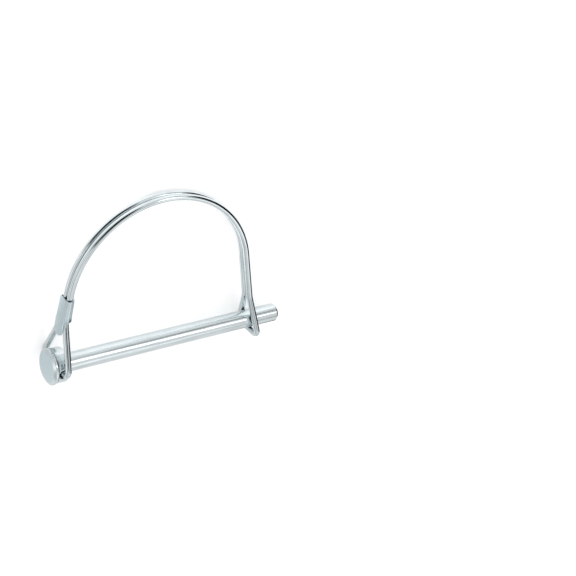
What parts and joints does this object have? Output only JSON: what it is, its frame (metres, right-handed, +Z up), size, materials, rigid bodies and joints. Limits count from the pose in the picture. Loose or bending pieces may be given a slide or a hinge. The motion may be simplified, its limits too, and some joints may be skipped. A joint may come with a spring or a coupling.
{
  "type": "wire lock pin",
  "caption": "Zinc plated wire lock pin: a headed straight pin with a double-wire D-shaped bail that swings from its head and snaps round its tip.",
  "frame": {"origin": "middle of the footprint at the level of the surface the part lies on", "axes": "+X along the pin from its head to its tip, +Y from the pin towards the top of the bail, +Z up; the part lies on its side, tipped about 6 degrees"},
  "size_m": [0.089, 0.0614, 0.0181],
  "materials": {
    "pin_steel": "bright zinc plating on a turned surface",
    "spring_wire": "bright zinc plating on drawn wire",
    "clip_sheet": "duller zinc plating on pressed sheet"
  },
  "bodies": {
    "pin": {"pin": "pin_steel"},
    "bail": {"wire_bail": "spring_wire", "wire_clip": "clip_sheet"}
  },
  "joints": [
    {"name": "bail_swing", "type": "hinge", "parent": "pin", "child": "bail", "pos_m": [-0.04077, -0.02457, 0.0092], "axis": [0.0421, 0.0906, 0.995], "range_deg": [0, 240]}
  ]
}
